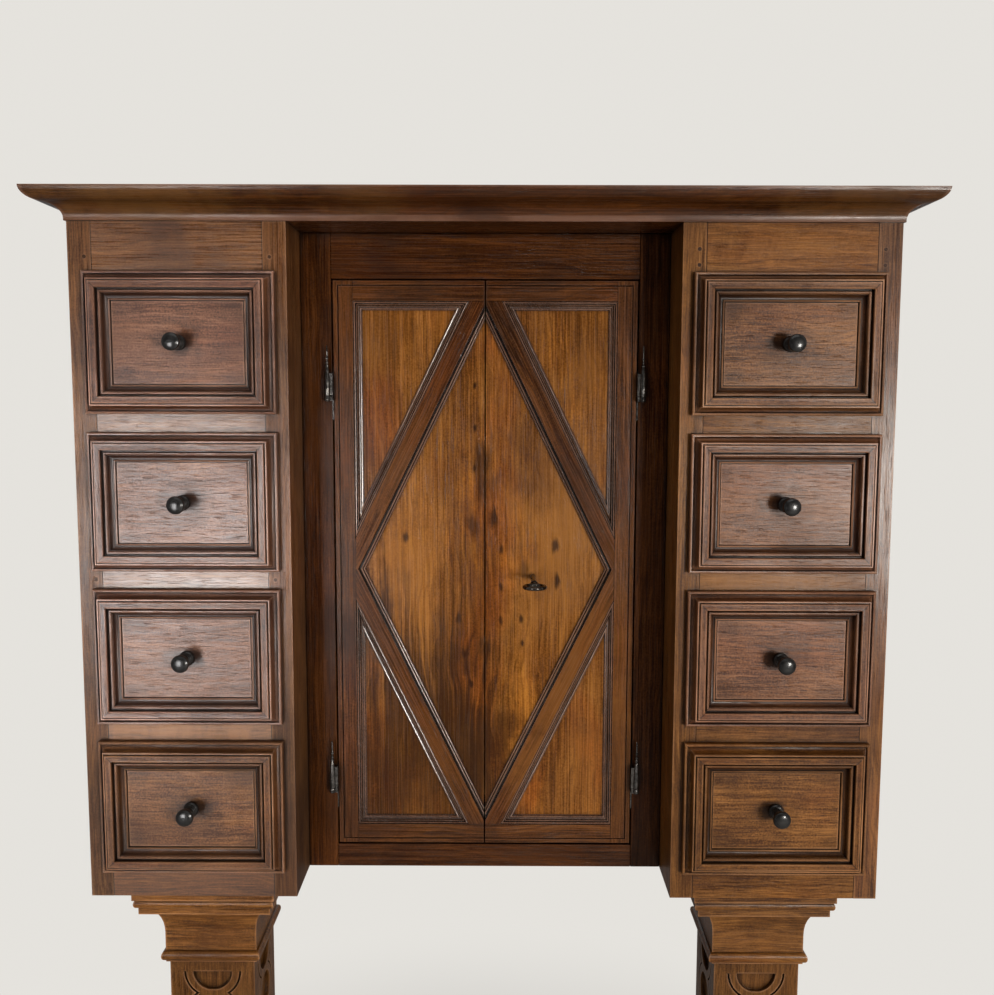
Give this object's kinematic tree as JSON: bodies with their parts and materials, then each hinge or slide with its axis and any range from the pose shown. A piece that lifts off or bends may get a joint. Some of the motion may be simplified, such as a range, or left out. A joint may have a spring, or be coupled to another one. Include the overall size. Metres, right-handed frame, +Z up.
{
  "type": "coin cabinet",
  "caption": "Wooden cabinet on two carved posts: moulded drawers in two towers beside a recessed cupboard whose pair of doors shares one lozenge panel, under an overhanging cornice.",
  "frame": {"origin": "middle of the cabinet's bounding box at floor level", "axes": "+Z up, -Y towards the front with the drawers and doors, +X to the right as seen from the front"},
  "size_m": [0.916, 0.267, 1.5465],
  "materials": {
    "case_walnut": "waxed dark walnut, satin",
    "drawer_walnut": "waxed reddish walnut, satin",
    "door_walnut": "waxed golden brown walnut with knots, satin",
    "moulding_walnut": "dark waxed walnut, satin",
    "inner_wood": "unpolished secondary wood, matt",
    "ebonised_wood": "black, polished",
    "hinge_iron": "dark iron, worn bright at the edges",
    "key_steel": "old steel, satin"
  },
  "bodies": {
    "case": {"left_outer_side": "case_walnut", "left_inner_side": "case_walnut", "right_inner_side": "case_walnut", "right_outer_side": "case_walnut", "left_rails": "case_walnut", "right_rails": "case_walnut", "left_runners": "inner_wood", "right_runners": "inner_wood", "bottom_boards": "case_walnut", "back_boards": "inner_wood", "top_board": "case_walnut", "cornice_front": "case_walnut", "cornice_returns": "case_walnut", "frame_pegs": "moulding_walnut", "cupboard_stiles": "case_walnut", "cupboard_rails": "case_walnut", "cupboard_shelves": "inner_wood", "shelf_battens": "inner_wood", "hinge_pins": "hinge_iron", "leg_capitals": "case_walnut", "leg_shafts": "case_walnut", "leg_bases": "case_walnut", "leg_plinths": "case_walnut"},
    "left_drawer_1": {"left_drawer_1_front": "drawer_walnut", "left_drawer_1_box": "inner_wood", "left_drawer_1_knob": "ebonised_wood"},
    "left_drawer_2": {"left_drawer_2_front": "drawer_walnut", "left_drawer_2_box": "inner_wood", "left_drawer_2_knob": "ebonised_wood"},
    "left_drawer_3": {"left_drawer_3_front": "drawer_walnut", "left_drawer_3_box": "inner_wood", "left_drawer_3_knob": "ebonised_wood"},
    "left_drawer_4": {"left_drawer_4_front": "drawer_walnut", "left_drawer_4_box": "inner_wood", "left_drawer_4_knob": "ebonised_wood"},
    "right_drawer_1": {"right_drawer_1_front": "drawer_walnut", "right_drawer_1_box": "inner_wood", "right_drawer_1_knob": "ebonised_wood"},
    "right_drawer_2": {"right_drawer_2_front": "drawer_walnut", "right_drawer_2_box": "inner_wood", "right_drawer_2_knob": "ebonised_wood"},
    "right_drawer_3": {"right_drawer_3_front": "drawer_walnut", "right_drawer_3_box": "inner_wood", "right_drawer_3_knob": "ebonised_wood"},
    "right_drawer_4": {"right_drawer_4_front": "drawer_walnut", "right_drawer_4_box": "inner_wood", "right_drawer_4_knob": "ebonised_wood"},
    "left_door": {"left_door_board": "door_walnut", "left_door_frame": "door_walnut", "left_door_mouldings": "moulding_walnut", "left_hinge_barrels": "hinge_iron"},
    "right_door": {"right_door_board": "door_walnut", "right_door_frame": "door_walnut", "right_door_mouldings": "moulding_walnut", "right_hinge_barrels": "hinge_iron", "lock_case": "hinge_iron"},
    "lock_bolt": {"lock_bolt": "key_steel"},
    "key": {"key": "key_steel"}
  },
  "joints": [
    {"name": "left_drawer_1_slide", "type": "slide", "parent": "case", "child": "left_drawer_1", "axis": [0, -1, 0], "range_m": [0, 0.15]},
    {"name": "left_drawer_2_slide", "type": "slide", "parent": "case", "child": "left_drawer_2", "axis": [0, -1, 0], "range_m": [0, 0.15]},
    {"name": "left_drawer_3_slide", "type": "slide", "parent": "case", "child": "left_drawer_3", "axis": [0, -1, 0], "range_m": [0, 0.15]},
    {"name": "left_drawer_4_slide", "type": "slide", "parent": "case", "child": "left_drawer_4", "axis": [0, -1, 0], "range_m": [0, 0.15]},
    {"name": "right_drawer_1_slide", "type": "slide", "parent": "case", "child": "right_drawer_1", "axis": [0, -1, 0], "range_m": [0, 0.15]},
    {"name": "right_drawer_2_slide", "type": "slide", "parent": "case", "child": "right_drawer_2", "axis": [0, -1, 0], "range_m": [0, 0.15]},
    {"name": "right_drawer_3_slide", "type": "slide", "parent": "case", "child": "right_drawer_3", "axis": [0, -1, 0], "range_m": [0, 0.15]},
    {"name": "right_drawer_4_slide", "type": "slide", "parent": "case", "child": "right_drawer_4", "axis": [0, -1, 0], "range_m": [0, 0.15]},
    {"name": "left_door_hinge", "type": "hinge", "parent": "case", "child": "left_door", "pos_m": [-0.173, -0.0315, 0.8965], "axis": [0, 0, -1], "range_deg": [0, 100]},
    {"name": "right_door_hinge", "type": "hinge", "parent": "case", "child": "right_door", "pos_m": [0.173, -0.0315, 0.8965], "axis": [0, 0, 1], "range_deg": [0, 100]},
    {"name": "key_turn", "type": "hinge", "parent": "right_door", "child": "key", "pos_m": [0.054, -0.0185, 1.1385], "axis": [0, -1, 0], "range_deg": [-90, 90]},
    {"name": "lock_bolt_slide", "type": "slide", "parent": "right_door", "child": "lock_bolt", "axis": [-1, 0, 0], "range_m": [-0.01, 0.01]}
  ],
  "couplings": [
    {"joint": "key_turn", "follows": "lock_bolt_slide", "rad_per_m": 157}
  ]
}
